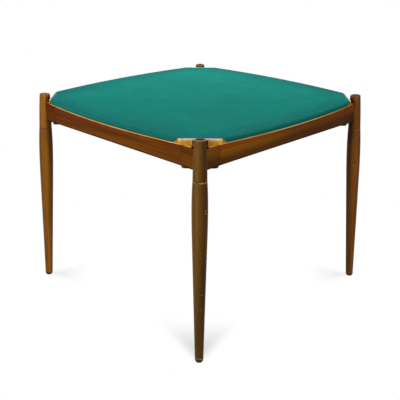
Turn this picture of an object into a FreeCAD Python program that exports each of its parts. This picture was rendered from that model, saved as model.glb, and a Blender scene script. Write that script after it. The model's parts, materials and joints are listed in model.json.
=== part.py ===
import FreeCAD, Part
import os
import re
import Sketcher

# Square game table: a loose baize top on a frame with a drawer in every side,
# four posts, and four turned legs that screw on below them

sizes = {
    # whole table
    "table_height": 745,  # floor to the crown of a post
    "panel_width": 908,  # of the loose top, across the middle of two opposite sides
    "post_inset": 49,  # posts' axes, at their tops, behind the line of the top's sides
    "splay": 2.954,  # lean of post and leg along the diagonal, degrees
    "face_offset": 11,  # outer faces of the frame beyond the line of the posts
    "post_rise": 9,  # crowns of the posts above the baize
    "overrun": 2,  # cutting tools past what they cut
    "glue_gap": 0.1,  # all round a glued or screwed joint
    # turned posts
    "post_length": 128,
    "post_top_radius": 18.7,
    "joint_radius": 22.5,
    "post_dome": 3,  # crown above the rim of the post's top
    "post_curve_radius": 2600,
    "post_rim_round": 2,
    # turned legs
    "leg_joint_radius": 22.9,
    "leg_rim_chamfer": 0.8,
    "swell_radius": 25.5,
    "swell_drop": 93,  # from the leg's top
    "taper_arc_radius": 3600,
    "taper_start": 88,  # below the swell, where the straight taper begins
    "foot_radius": 14,
    "foot_rim_chamfer": 1,
    "glide_radius": 11.5,
    "glide_height": 4,
    # screw joint between post and leg
    "washer_thickness": 1.2,
    "washer_radius": 22.1,
    "washer_bore_gap": 0.5,
    "seat_gap": 0.05,
    "stud_radius": 6,
    "stud_reach": 30,  # into the post
    "stud_depth": 32,  # into the leg
    "stud_chamfer": 1,
    "running_gap": 0.08,
    "insert_radius": 9,
    "insert_length": 34,
    # frame
    "rail_height": 66,
    "rail_thickness": 16,
    "arm_length": 74,  # corner block along each face, from the post's axis
    "arm_thickness": 20,
    "tongue_length": 39,  # past the arm, behind the drawer front's end
    "arm_end_round": 1.5,
    "block_reach": 80,  # solid core behind the post, along each arm
    "plate_thickness": 5.5,
    "plate_reach": 122,
    "plate_chamfer": 9,  # off the plate's inner corner
    "plate_rim_round": 3,
    "slot_half_width": 24,
    "slot_radius": 30,  # of the slot's end, about the post's axis
    "bearer_front": 33,  # bearer's front edge behind the post's axis
    "bearer_width": 112,
    "bearer_length": 95,
    "bearer_thickness": 5,
    "bearer_round": 12,
    "screw_radius": 2,
    "screw_head_radius": 4,
    "screw_head_height": 2.4,
    "screw_length": 24,
    "screw_spread": 50,
    "screw_inset": 15,
    # drawers
    "front_thickness": 12,
    "front_gap": 0.3,  # drawer front to the tongue that stops it
    "front_end_gap": 0.8,
    "front_drop_gap": 0.5,
    "front_head_gap": 0.8,
    "front_round": 1.5,
    "cove_radius": 7,
    "cove_length": 160,
    "drawer_wall": 9,
    "drawer_side_gap": 0.6,
    "drawer_back_gap": 3,
    "drawer_head_gap": 1.5,
    "runner_height": 5.5,
    "runner_width": 12,
    "slide_gap": 0.3,
    "bottom_thickness": 4,
    "bottom_rise": 3,  # bottom board above the lower edges of the sides
    "groove_depth": 3,
    # loose top
    "panel_thickness": 18.5,
    "side_arc_radius": 2250,
    "cut_set_back": 27.5,  # cut edge behind the post's axis
    "lipping_width": 5.5,  # bare wood along each cut edge
    "lipping_end_round": 4,
    "lipping_rim_round": 1.2,
    "backing_thickness": 3.5,
    "baize_thickness": 1.5,
    "baize_rim_round": 1,
}

corners = {"front_right": (1, -1), "back_right": (1, 1), "back_left": (-1, 1), "front_left": (-1, -1)}
sides = ("front", "right", "back", "left")
quarter_turn = 90
full_turn = 4 * quarter_turn
right_turn, left_turn = -1, 1

doc = FreeCAD.newDocument("game_table")
vector = FreeCAD.Vector
pieces = []

sheet = doc.addObject("Spreadsheet::Sheet", "sheet")
for row, (name, size) in enumerate(sizes.items(), 1):
    sheet.set(f"A{row}", name)
    sheet.set(f"B{row}", str(size))
    sheet.setAlias(f"B{row}", name)
doc.recompute()


def bound(text):
    return re.sub("[a-z][a-z_]*", lambda word: "sheet." + word[0] if word[0] in sizes else word[0], text)


def number(text):
    return float(sheet.evalExpression(bound(text)))


# Heights and distances from the middle that several pieces share

half_pitch = "(panel_width / 2 - post_inset)"
face = f"({half_pitch} + face_offset)"
panel_top = "(table_height - post_rise)"
panel_bottom = f"({panel_top} - panel_thickness)"
rail_top = f"({panel_bottom} - plate_thickness)"
rail_bottom = f"({rail_top} - rail_height)"
tongue_end = "(arm_length + tongue_length)"
guide = f"({half_pitch} - {tongue_end})"
guide_outside = f"({guide} + rail_thickness)"
arm_back = f"({face} - arm_thickness)"
front_back = f"({face} - front_thickness)"
leg_top = "(post_length + washer_thickness + 2 * seat_gap)"
foot = "((table_height - glide_height) / cos(splay))"


def node(piece, label):
    piece.Label = label
    pieces.append(piece)
    return piece


def turn(piece, quarters):
    piece.Placement = FreeCAD.Placement(vector(), FreeCAD.Rotation(vector(0, 0, 1), quarters * quarter_turn))
    return piece


def lean(piece, corner):
    # Stands a turned piece on its post's axis, with its origin at the post's top
    along, across = corners[corner]
    tilt = FreeCAD.Rotation(vector(across, -along, 0), number("splay"))
    piece.Placement = FreeCAD.Placement(vector(), tilt)
    piece.setExpression("Placement.Rotation.Angle", bound("splay"))
    piece.setExpression("Placement.Base.x", bound(f"{along} * {half_pitch}"))
    piece.setExpression("Placement.Base.y", bound(f"{across} * {half_pitch}"))
    piece.setExpression("Placement.Base.z", bound("table_height"))
    return piece


def board(name, low, high):
    box = doc.addObject("Part::Box", name)
    for length, start, end in zip(("Length", "Width", "Height"), low, high):
        box.setExpression(length, bound(f"({end}) - ({start})"))
    for axis, start in zip("xyz", low):
        box.setExpression(f"Placement.Base.{axis}", bound(start))
    return box


def joined(name, members):
    group = doc.addObject("Part::Compound", name)
    group.Links = members
    return group


def cut(name, base, tool):
    result = doc.addObject("Part::Cut", name)
    result.Base = base
    result.Tool = tool
    return result


def arc_centre(start, end, radius, bend):
    # Centre of the short arc between two points, on its left or right hand
    chord = end - start
    across = vector(-chord.y, chord.x, 0).normalize()
    rise = (radius**2 - (chord.Length / 2) ** 2) ** 0.5
    return (start + end) / 2 + across * (bend * rise)


def outline(body, plane, points, arcs=None, offset="0"):
    # A closed sketch whose corners, and the radii of its arcs, follow the sheet
    arcs = arcs or {}
    sketch = body.newObject("Sketcher::SketchObject", body.Name + "_outline")
    support = [origin for origin in body.Origin.OriginFeatures if origin.Role == plane]
    sketch.AttachmentSupport = [(support[0], "")]
    sketch.MapMode = "FlatFace"
    sketch.setExpression("AttachmentOffset.Base.z", bound(offset))
    places = [vector(number(x), number(y), 0) for x, y in points]
    ends = []
    for index, start in enumerate(places):
        end = places[(index + 1) % len(places)]
        if index in arcs:
            radius, bend = number(arcs[index][0]), arcs[index][1]
            circle = Part.Circle(arc_centre(start, end, radius, bend), vector(0, 0, 1), radius)
            first, last = (start, end) if bend == left_turn else (end, start)
            sketch.addGeometry(Part.ArcOfCircle(circle, circle.parameter(first), circle.parameter(last)))
            ends.append((1, 2) if bend == left_turn else (2, 1))
        else:
            sketch.addGeometry(Part.LineSegment(start, end))
            ends.append((1, 2))
    for index, (start, end) in enumerate(ends):
        following = (index + 1) % len(ends)
        sketch.addConstraint(Sketcher.Constraint("Coincident", index, end, following, ends[following][0]))
        x, y = points[index]
        place = places[index]
        for kind, axis, text, distance in (("DistanceX", -2, x, place.x), ("DistanceY", -1, y, place.y)):
            if text == "0":
                sketch.addConstraint(Sketcher.Constraint("PointOnObject", index, start, axis))
            else:
                tie = sketch.addConstraint(Sketcher.Constraint(kind, -1, 1, index, start, distance))
                sketch.setExpression(f"Constraints[{tie}]", bound(text))
    for index, (radius, bend) in arcs.items():
        tie = sketch.addConstraint(Sketcher.Constraint("Radius", index, number(radius)))
        sketch.setExpression(f"Constraints[{tie}]", bound(radius))
    return sketch


def turned(name, profile, arcs=None):
    # A solid of revolution about its own Z axis, from radius and height pairs
    body = doc.addObject("PartDesign::Body", name)
    sketch = outline(body, "XZ_Plane", profile, arcs)
    revolution = body.newObject("PartDesign::Revolution", name + "_turning")
    revolution.Profile = sketch
    revolution.ReferenceAxis = (sketch, ["V_Axis"])
    revolution.Angle = full_turn
    return body


def padded(name, plane, points, offset, length, arcs=None):
    body = doc.addObject("PartDesign::Body", name)
    pad = body.newObject("PartDesign::Pad", name + "_pad")
    pad.Profile = outline(body, plane, points, arcs, offset)
    pad.setExpression("Length", bound(length))
    return body


def rounded(body, radius, wanted):
    # Rounds the edges of the body's last feature that pass the test
    doc.recompute()
    base = body.Tip
    edges = [f"Edge{index}" for index, edge in enumerate(base.Shape.Edges, 1) if wanted(edge)]
    fillet = body.newObject("PartDesign::Fillet", body.Name + "_rounding")
    fillet.Base = (base, edges)
    fillet.setExpression("Radius", bound(radius))
    return body


# Turned posts and legs


def post_profile(gap):
    return [("0", "0"), (f"post_top_radius + {gap}", "-post_dome"), (f"joint_radius + {gap}", "-post_length")]


def make_post(corner):
    hole = "insert_radius + glue_gap"
    depth = "insert_length + glue_gap - post_length"
    profile = post_profile("0") + [(hole, "-post_length"), (hole, depth), ("0", depth)]
    dome_arc = "(post_top_radius ^ 2 + post_dome ^ 2) / (2 * post_dome)"
    arcs = {0: (dome_arc, right_turn), 1: ("post_curve_radius", right_turn)}
    post = turned("post_" + corner, profile, arcs)
    rim = number("-2 * post_dome")
    return rounded(post, "post_rim_round", lambda edge: edge.isClosed() and edge.BoundBox.ZMin > rim)


def make_leg(corner):
    hole = "stud_radius + glue_gap"
    hole_end = f"-{leg_top} - stud_depth - glue_gap"
    swell = f"-{leg_top} - swell_drop"
    swell_rise = "(swell_radius - leg_joint_radius)"
    swell_run = "(swell_drop - leg_rim_chamfer)"
    taper_radius = "swell_radius - taper_arc_radius + sqrt(taper_arc_radius ^ 2 - taper_start ^ 2)"
    profile = [
        (hole, f"-{leg_top}"),
        ("leg_joint_radius - leg_rim_chamfer", f"-{leg_top}"),
        ("leg_joint_radius", f"-{leg_top} - leg_rim_chamfer"),
        ("swell_radius", swell),
        (taper_radius, f"{swell} - taper_start"),
        ("foot_radius", f"foot_rim_chamfer - {foot}"),
        ("foot_radius - foot_rim_chamfer", f"-{foot}"),
        ("0", f"-{foot}"),
        ("0", hole_end),
        (hole, hole_end),
    ]
    swell_arc = f"({swell_run} ^ 2 + {swell_rise} ^ 2) / (2 * {swell_rise})"
    return turned("leg_" + corner, profile, {2: (swell_arc, right_turn), 3: ("taper_arc_radius", right_turn)})


def make_stud(corner):
    top = "stud_reach - post_length"
    profile = [
        ("0", top),
        ("stud_radius - stud_chamfer", top),
        ("stud_radius", f"{top} - stud_chamfer"),
        ("stud_radius", f"-{leg_top} - stud_depth"),
        ("0", f"-{leg_top} - stud_depth"),
    ]
    return turned("leg_stud_" + corner, profile)


def make_ring(name, inner, outer, top, bottom):
    return turned(name, [(inner, top), (outer, top), (outer, bottom), (inner, bottom)])


def make_glide(corner, floor):
    low = f"-{foot} - 2 * glide_height"
    profile = [("0", f"-{foot}"), ("glide_radius", f"-{foot}"), ("glide_radius", low), ("0", low)]
    pad = lean(turned("glide_pad_" + corner, profile), corner)
    return cut("glide_" + corner, pad, floor)


floor_reach = f"({face} * 2)"
floor = board("floor", [f"-{floor_reach}"] * 2 + [f"-{floor_reach}"], [floor_reach] * 2 + ["0"])
inserts = []
for corner in corners:
    node(lean(make_post(corner), corner), "post_" + corner)
    node(lean(make_leg(corner), corner), "leg_" + corner)
    node(lean(make_stud(corner), corner), "leg_stud_" + corner)
    node(make_glide(corner, floor), "glide_" + corner)
    washer = make_ring(
        "leg_washer_" + corner,
        "stud_radius + washer_bore_gap",
        "washer_radius",
        "-post_length - seat_gap",
        "-post_length - seat_gap - washer_thickness",
    )
    node(lean(washer, corner), "leg_washer_" + corner)
    insert = make_ring(
        "insert_" + corner,
        "stud_radius + running_gap",
        "insert_radius",
        "insert_length - post_length",
        "-post_length",
    )
    inserts.append(lean(insert, corner))
node(joined("leg_inserts", inserts), "leg_inserts")


# Corner pieces, drawn at the front right corner and turned to the others


def from_post(inward_x, inward_y):
    # A point by its distances inward from the post's axis
    return f"{half_pitch} - ({inward_x})", f"({inward_y}) - {half_pitch}"


def on_diagonal(behind, aside):
    # A point behind the post's axis along the diagonal, and beside it
    return from_post(f"({behind} + {aside}) / sqrt(2)", f"({behind} - ({aside})) / sqrt(2)")


def screw_profile(gap):
    # Radius and height pairs up a countersunk screw, with a gap all round it
    return [
        (f"screw_head_radius + {gap}", "0"),
        (f"screw_radius + {gap}", "screw_head_height"),
        (f"screw_radius + {gap}", f"screw_length + {gap}"),
        ("0", f"screw_length + {gap}"),
    ]


screw = [("0", "0")] + screw_profile("0")
screw_hole = [("0", "-overrun"), ("screw_head_radius + glue_gap", "-overrun")] + screw_profile("glue_gap")


def screws_at(name, profile):
    # The pair of countersunk screws under one bearer, or the holes they need
    pair = []
    for hand in ("", "-"):
        one = turned(name, profile)
        x, y = on_diagonal("(bearer_front + screw_inset)", f"{hand}screw_spread / 2")
        one.setExpression("Placement.Base.x", bound(x))
        one.setExpression("Placement.Base.y", bound(y))
        one.setExpression("Placement.Base.z", bound(f"{rail_bottom} - bearer_thickness"))
        pair.append(one)
    return joined(name + "_pair", pair)


def upright(edge):
    return edge.BoundBox.ZLength > edge.Length / 2


def on_outer_faces(edge):
    # Whether the edge lies on the outer face to the right, and on the one in front
    limit = number(f"{face} - face_offset / 2")
    return edge.BoundBox.XMin > limit, -edge.BoundBox.YMax > limit


def arm_end(edge):
    # The two upright outer edges where the arms meet the drawer fronts
    right, front = on_outer_faces(edge)
    return upright(edge) and right != front


def make_block(corner):
    tongue = "(front_thickness + front_gap - face_offset)"
    back = "(arm_thickness - face_offset)"
    reach = [
        ("-face_offset", "-face_offset"),
        ("arm_length", "-face_offset"),
        ("arm_length", tongue),
        (tongue_end, tongue),
        (tongue_end, back),
        ("block_reach", back),
        (back, "block_reach"),
        (back, tongue_end),
        (tongue, tongue_end),
        (tongue, "arm_length"),
        ("-face_offset", "arm_length"),
    ]
    points = [from_post(x, y) for x, y in reach]
    blank = padded("block_blank_" + corner, "XY_Plane", points, rail_bottom, "rail_height")
    rounded(blank, "arm_end_round", arm_end)
    bore = turned("post_bore_" + corner, post_profile("glue_gap") + [("0", "-post_length")],
                  {1: ("post_curve_radius", right_turn)})
    holes = screws_at("block_hole_" + corner, screw_hole)
    tools = joined("block_tools_" + corner, [lean(bore, "front_right"), holes])
    return cut("corner_block_" + corner, blank, tools)


def make_plate(corner):
    lip = "slot_half_width * sqrt(2) - face_offset"
    slot_end = "sqrt(slot_radius ^ 2 - slot_half_width ^ 2)"
    inner_end = "plate_reach - plate_chamfer"
    points = [
        from_post(lip, "-face_offset"),
        from_post("plate_reach", "-face_offset"),
        from_post("plate_reach", inner_end),
        from_post(inner_end, "plate_reach"),
        from_post("-face_offset", "plate_reach"),
        from_post("-face_offset", lip),
        on_diagonal(slot_end, "-slot_half_width"),
        on_diagonal(slot_end, "slot_half_width"),
    ]
    plate = padded("corner_plate_" + corner, "XY_Plane", points, rail_top, "plate_thickness",
                   {6: ("slot_radius", left_turn)})

    def outer_rim(edge):
        return any(on_outer_faces(edge)) and edge.BoundBox.ZMin > number(f"{rail_top} + plate_thickness / 2")

    return rounded(plate, "plate_rim_round", outer_rim)


def make_bearer(corner):
    rear = "(bearer_front + bearer_length)"
    points = [
        on_diagonal("bearer_front", "bearer_width / 2"),
        on_diagonal("bearer_front", "-bearer_width / 2"),
        on_diagonal(rear, "-bearer_width / 2"),
        on_diagonal(rear, "bearer_width / 2"),
    ]
    blank = padded("bearer_blank_" + corner, "XY_Plane", points, f"{rail_bottom} - bearer_thickness",
                   "bearer_thickness")
    halfway = number(f"2 * {half_pitch} - (bearer_front + bearer_length / 2) * sqrt(2)")

    def front_corner(edge):
        middle = edge.BoundBox.Center
        return upright(edge) and middle.x - middle.y > halfway

    rounded(blank, "bearer_round", front_corner)
    return cut("corner_bearer_" + corner, blank, screws_at("bearer_hole_" + corner, screw_hole))


screws = []
for quarters, corner in enumerate(corners):
    node(turn(make_block(corner), quarters), "corner_block_" + corner)
    node(turn(make_plate(corner), quarters), "corner_plate_" + corner)
    node(turn(make_bearer(corner), quarters), "corner_bearer_" + corner)
    screws.append(turn(screws_at("screw_" + corner, screw), quarters))
node(joined("bearer_screws", screws), "bearer_screws")


# Rails and drawers, drawn on the front side and turned to the others


def make_inner_rail(side, lap_up):
    # Two rails are notched from above and two from below, half way through
    middle = f"({rail_bottom} + rail_height / 2)"
    plain, notched = (rail_bottom, rail_top) if lap_up else (rail_top, rail_bottom)
    depth = f"{middle} - glue_gap" if lap_up else f"{middle} + glue_gap"
    near = f"{guide} - glue_gap"
    far = f"{guide_outside} + glue_gap"
    notch = [(near, notched), (near, depth), (far, depth), (far, notched)]
    right = notch + [(arm_back, notched), (arm_back, plain)]
    left = [(f"-({x})", z) for x, z in reversed(right)]
    return padded("inner_rail_" + side, "XZ_Plane", right + left, guide, "rail_thickness")


def make_drawer_front(side):
    end = f"({half_pitch} - arm_length - front_end_gap)"
    low = f"{rail_bottom} + front_drop_gap"
    high = f"{rail_top} - front_head_gap"
    points = [(f"-{end}", low), (end, low), (end, high), (f"-{end}", high)]
    blank = padded("front_blank_" + side, "XZ_Plane", points, front_back, "front_thickness")
    rounded(blank, "front_round", lambda edge: edge.BoundBox.YMax < number(f"front_thickness / 2 - {face}"))
    cove = doc.addObject("Part::Cylinder", "cove_" + side)
    cove.Placement.Rotation = FreeCAD.Rotation(vector(0, 1, 0), quarter_turn)
    cove.setExpression("Radius", bound("cove_radius"))
    cove.setExpression("Height", bound("cove_length"))
    cove.setExpression("Placement.Base.x", bound("-cove_length / 2"))
    cove.setExpression("Placement.Base.y", bound(f"-{front_back}"))
    cove.setExpression("Placement.Base.z", bound(low))
    return cut("drawer_front_" + side, blank, cove)


def make_drawer(side, quarters):
    outer = f"({guide} - drawer_side_gap)"
    inner = f"({outer} - drawer_wall)"
    box_low = f"({rail_bottom} + runner_height + slide_gap)"
    box_high = f"({rail_top} - drawer_head_gap)"
    rear = f"-({guide_outside} + drawer_back_gap)"
    groove_low = f"({box_low} + bottom_rise)"
    groove_high = f"({groove_low} + bottom_thickness)"
    groove_reach = f"({inner} + groove_depth)"
    walls = []
    for hand in ("left", "right"):
        low_x, high_x = (inner, outer) if hand == "right" else (f"-{outer}", f"-{inner}")
        wall = board(f"wall_{side}", [low_x, f"-{front_back}", box_low], [high_x, rear, box_high])
        walls.append(wall)
    groove = board(
        f"groove_{side}",
        [f"-{groove_reach}", f"-{front_back} - overrun", groove_low],
        [groove_reach, f"{rear} + overrun", groove_high],
    )
    side_pair = joined(f"drawer_sides_{side}", [cut(f"grooved_wall_{side}", wall, groove) for wall in walls])
    back = board(
        f"back_board_{side}",
        [f"-{inner}", f"{rear} - drawer_wall", groove_high],
        [inner, rear, box_high],
    )
    bottom = board(
        f"bottom_board_{side}",
        [f"-{groove_reach}", f"-{front_back}", groove_low],
        [groove_reach, rear, groove_high],
    )
    node(turn(side_pair, quarters), "drawer_sides_" + side)
    node(turn(joined(f"drawer_back_{side}", [back]), quarters), "drawer_back_" + side)
    node(turn(joined(f"drawer_bottom_{side}", [bottom]), quarters), "drawer_bottom_" + side)


def make_runners(side):
    pair = []
    for low_x, high_x in ((f"{guide} - runner_width", guide), (f"-{guide}", f"runner_width - {guide}")):
        low = [low_x, f"-{arm_back}", rail_bottom]
        high = [high_x, f"-{guide_outside}", f"{rail_bottom} + runner_height"]
        pair.append(board("runner_" + side, low, high))
    return joined("runner_pair_" + side, pair)


def make_top_rail(side):
    end = f"({half_pitch} - plate_reach)"
    rail = board("rail_" + side, [f"-{end}", f"-{face}", rail_top], [end, f"-{guide}", panel_bottom])
    return joined("top_rail_" + side, [rail])


runners = []
top_rails = []
for quarters, side in enumerate(sides):
    node(turn(make_inner_rail(side, quarters % 2 == 0), quarters), "inner_rail_" + side)
    node(turn(make_drawer_front(side), quarters), "drawer_front_" + side)
    make_drawer(side, quarters)
    runners.append(turn(make_runners(side), quarters))
    top_rails.append(turn(make_top_rail(side), quarters))
node(joined("drawer_runners", runners), "drawer_runners")
node(joined("top_rails", top_rails), "top_rails")


# Loose top: backing board, core board, the baize over its face and side edges, and bare wood at its cuts


def panel_layer(name, inset, past_cuts, low, high):
    # One layer of the top, with bowed sides and cut corners
    set_back = f"(cut_set_back - ({past_cuts}))"
    radius = f"(side_arc_radius - ({inset}))"
    reach = f"(2 * {half_pitch} - {set_back} * sqrt(2))"
    offset = f"({reach} + side_arc_radius - panel_width / 2)"
    along = f"(({offset} - sqrt(2 * {radius} ^ 2 - {offset} ^ 2)) / 2)"
    beyond = f"({reach} - {along})"
    cut_edge = [(along, f"-{beyond}"), (beyond, f"-{along}")]
    points = []
    arcs = {}
    for corner in corners:
        arcs[len(points) + 1] = (radius, left_turn)
        points += cut_edge
        cut_edge = [(f"-({y})", x) for x, y in cut_edge]
    return padded(name, "XY_Plane", points, low, f"({high}) - ({low})", arcs)


backing_top = f"({panel_bottom} + backing_thickness)"
baize_bottom = f"({panel_top} - baize_thickness)"
behind_lipping = "-lipping_width - glue_gap"


def on_top(edge):
    return edge.BoundBox.ZMin > number(baize_bottom)


node(panel_layer("top_backing", "0", behind_lipping, panel_bottom, backing_top), "top_backing")
beside_baize = "baize_thickness + glue_gap"
node(panel_layer("top_board", beside_baize, behind_lipping, backing_top, baize_bottom), "top_board")
cloth = panel_layer("baize_blank", "0", behind_lipping, backing_top, panel_top)
rounded(cloth, "baize_rim_round", on_top)
core = panel_layer("baize_core", "baize_thickness", "overrun", f"{backing_top} - overrun", baize_bottom)
node(cut("baize", cloth, core), "baize")
strips = panel_layer("lipping_blank", "0", "0", panel_bottom, panel_top)
rounded(strips, "lipping_end_round", upright)
rounded(strips, "lipping_rim_round", on_top)
past_bottom, past_top = f"{panel_bottom} - overrun", f"{panel_top} + overrun"
within = panel_layer("lipping_core", "-overrun", "-lipping_width", past_bottom, past_top)
node(cut("corner_lippings", strips, within), "corner_lippings")

doc.recompute()

failed = [item.Name for item in doc.Objects if "Invalid" in item.State or "Error" in item.State]
failed += [piece.Label for piece in pieces if piece.Shape.isNull() or not piece.Shape.isValid()]
if failed:
    raise RuntimeError("failed: " + ", ".join(failed))

os.makedirs("parts", exist_ok=True)
for piece in pieces:
    piece.Shape.exportStep(f"parts/{piece.Label}.step")
print(len(pieces), "pieces")
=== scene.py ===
import json
import math

import bpy
from mathutils import Matrix, Vector, noise


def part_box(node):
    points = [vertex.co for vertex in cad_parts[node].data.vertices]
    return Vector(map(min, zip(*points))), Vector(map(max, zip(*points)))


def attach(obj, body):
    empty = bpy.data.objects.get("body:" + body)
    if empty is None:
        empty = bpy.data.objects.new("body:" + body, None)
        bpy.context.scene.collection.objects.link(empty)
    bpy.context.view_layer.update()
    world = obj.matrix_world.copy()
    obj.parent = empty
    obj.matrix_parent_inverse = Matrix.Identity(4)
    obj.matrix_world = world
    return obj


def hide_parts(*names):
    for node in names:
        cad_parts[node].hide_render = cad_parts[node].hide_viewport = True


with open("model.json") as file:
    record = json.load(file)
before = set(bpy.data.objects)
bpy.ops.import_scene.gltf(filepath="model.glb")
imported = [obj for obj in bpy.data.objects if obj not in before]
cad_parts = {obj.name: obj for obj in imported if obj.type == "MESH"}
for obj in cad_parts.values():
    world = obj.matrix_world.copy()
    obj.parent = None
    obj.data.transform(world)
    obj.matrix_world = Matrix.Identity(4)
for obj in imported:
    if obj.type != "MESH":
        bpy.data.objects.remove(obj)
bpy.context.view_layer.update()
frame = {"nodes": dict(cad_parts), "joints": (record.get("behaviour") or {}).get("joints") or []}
nodes = frame["nodes"]
scene = bpy.context.scene

corners = {"front_right": (1, -1), "back_right": (1, 1), "back_left": (-1, 1), "front_left": (-1, -1)}
sides = ("front", "right", "back", "left")
hinges = [joint for joint in frame["joints"] if joint["type"] == "hinge"]
legHinges = {joint["child"][len("leg_"):]: joint for joint in hinges}
postTop = {corner: Vector(legHinges[corner]["pos_m"]) for corner in corners}
legAxis = {corner: Vector(legHinges[corner]["axis"]).normalized() for corner in corners}  # down the leg
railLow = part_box("corner_block_front_right")[0].z
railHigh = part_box("corner_block_front_right")[1].z
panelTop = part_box("baize")[1].z
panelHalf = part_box("baize")[1].x
panelReach = max(vertex.co.x + vertex.co.y for vertex in nodes["baize"].data.vertices)  # to the cuts
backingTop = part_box("top_backing")[1].z
frontCorner = (0.3, 0.5)  # x - y where the front corner's own tones set in
turnedSharp = 30  # degrees from which an edge stays sharp
boardSharp = 40


def dropsOf(name, corner):
    # where a piece starts and ends down the leaning axis, from the post's crown
    drops = [(vertex.co - postTop[corner]).dot(legAxis[corner]) for vertex in nodes[name].data.vertices]
    return min(drops), max(drops)


def stand(name, data):
    # a new object in the scene
    thing = bpy.data.objects.new(name, data)
    scene.collection.objects.link(thing)
    return thing


# Shader wires: a socket that takes part in Python sums, and one method that adds any node

class Wire:
    def __init__(self, tree, socket=None):
        self.tree = tree
        self.socket = socket

    def add(self, kind, settings=None, inputs=None, out=0):
        node = self.tree.nodes.new("ShaderNode" + kind)
        for name, value in (settings or {}).items():
            setattr(node, name, value)
        for name, value in (inputs or {}).items():
            if isinstance(value, Wire):
                self.tree.links.new(value.socket, node.inputs[name])
            else:
                node.inputs[name].default_value = value
        return Wire(self.tree, node.outputs[out] if node.outputs else None)

    def maths(self, operation, first, second=0.0):
        return self.add("Math", {"operation": operation}, {0: first, 1: second})

    def __add__(self, other):
        return self.maths("ADD", self, other)

    def __radd__(self, other):
        return self.maths("ADD", other, self)

    def __sub__(self, other):
        return self.maths("SUBTRACT", self, other)

    def __rsub__(self, other):
        return self.maths("SUBTRACT", other, self)

    def __mul__(self, other):
        return self.maths("MULTIPLY", self, other)

    def __rmul__(self, other):
        return self.maths("MULTIPLY", other, self)

    def __abs__(self):
        return self.maths("ABSOLUTE", self)

    def least(self, other):
        return self.maths("MINIMUM", self, other)

    def most(self, other):
        return self.maths("MAXIMUM", self, other)

    def moved(self, operation, other):
        # vector maths
        return self.add("VectorMath", {"operation": operation}, {0: self, 1: other})

    def apart(self, point):
        # distance from a point
        return self.add("VectorMath", {"operation": "DISTANCE"}, {0: self, 1: point}, out="Value")

    def place(self):
        # where a point is on the table
        return self.add("TexCoord", out="Object")

    def facing(self):
        # which way the surface looks, along X, Y and Z
        return self.add("TexCoord", out="Normal").parts()

    def parts(self):
        split = self.add("SeparateXYZ", None, {0: self}).socket.node
        return [Wire(self.tree, socket) for socket in split.outputs]

    def joined(self, x, y, z):
        return self.add("CombineXYZ", None, {0: x, 1: y, 2: z})

    def step(self, low, high):
        # 0 below low, 1 above high and smooth between
        settings = {"interpolation_type": "SMOOTHSTEP"}
        return self.add("MapRange", settings, {"Value": self, "From Min": low, "From Max": high})

    def within(self, low, high, soft):
        # 1 between two values, fading out on both sides
        return self.step(low - soft, low) * (1 - self.step(high, high + soft))

    def noise(self, scale, detail=3.0, roughness=0.5, distortion=0.0):
        sockets = {"Vector": self, "Scale": scale, "Detail": detail}
        return self.add("TexNoise", None, {**sockets, "Roughness": roughness, "Distortion": distortion})

    def swing(self, depth):
        # noise about its mean, so that it adds nothing on the whole
        return (self - 0.5) * depth

    def blend(self, kind, factor, *colours):
        first, second = [colour if isinstance(colour, Wire) else (*colour, 1) for colour in colours]
        settings = {"data_type": "RGBA", "blend_type": kind}
        return self.add("Mix", settings, {0: factor, 6: first, 7: second}, out=2)

    def mix(self, first, second):
        # two colours, with this value as the factor
        return self.blend("MIX", self, first, second)

    def tinted(self, colour):
        # this colour times another
        return self.blend("MULTIPLY", 1.0, self, colour)


def emptyTree(owner):
    owner.use_nodes = True
    owner.node_tree.nodes.clear()
    return Wire(owner.node_tree)


def newFinish(name):
    # an empty material: its wires, and a function that closes it with a Principled shader
    material = bpy.data.materials.new(name)
    wires = emptyTree(material)

    def close(bumpHeight, bumpDistance, **sockets):
        inputs = {key.replace("_", " "): value for key, value in sockets.items()}
        inputs["Normal"] = wires.add("Bump", None, {"Height": bumpHeight, "Distance": bumpDistance})
        shader = wires.add("BsdfPrincipled", None, inputs)
        wires.add("OutputMaterial", None, {"Surface": shader})
        return material

    return wires, close


def smoothShade(mesh, sharp):
    mesh.shade_smooth()
    mesh.set_sharp_from_angle(angle=math.radians(sharp))


def paint(material, *names, sharp=None):
    # faces are shaded smooth only where a sharp angle is given
    for name in names:
        mesh = nodes[name].data
        mesh.materials.clear()
        mesh.materials.append(material)
        if sharp is not None:
            smoothShade(mesh, sharp)


def newPiece(name, verts, faces, sharp, material):
    mesh = bpy.data.meshes.new(name)
    mesh.from_pydata(verts, [], faces)
    smoothShade(mesh, sharp)
    mesh.materials.append(material)
    return stand(name, mesh)


def quadStrip(upper, lower, count, wanted=None):
    # faces between two rings of points
    for index in wanted or range(count):
        following = (index + 1) % count
        yield upper + index, lower + index, lower + following, upper + following


# Camera, at the photograph's viewing angle

shot = {
    "corner": 45,  # degrees from looking along +Y to looking along the table's diagonal
    "distance": 2.570,  # level distance from the table's middle, metres
    "aside": -0.0033,  # to the left of the line to the middle
    "height": 1.3467,
    "heading": 44.892,  # degrees from looking along +Y
    "pitch": 21.709,
    "roll": 0.2988,
    "focal": 707.9 / 400,  # focal length over the picture's width
    "sensor": 36,
    "nearest": 0.05,
    "farthest": 100,
}


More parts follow.
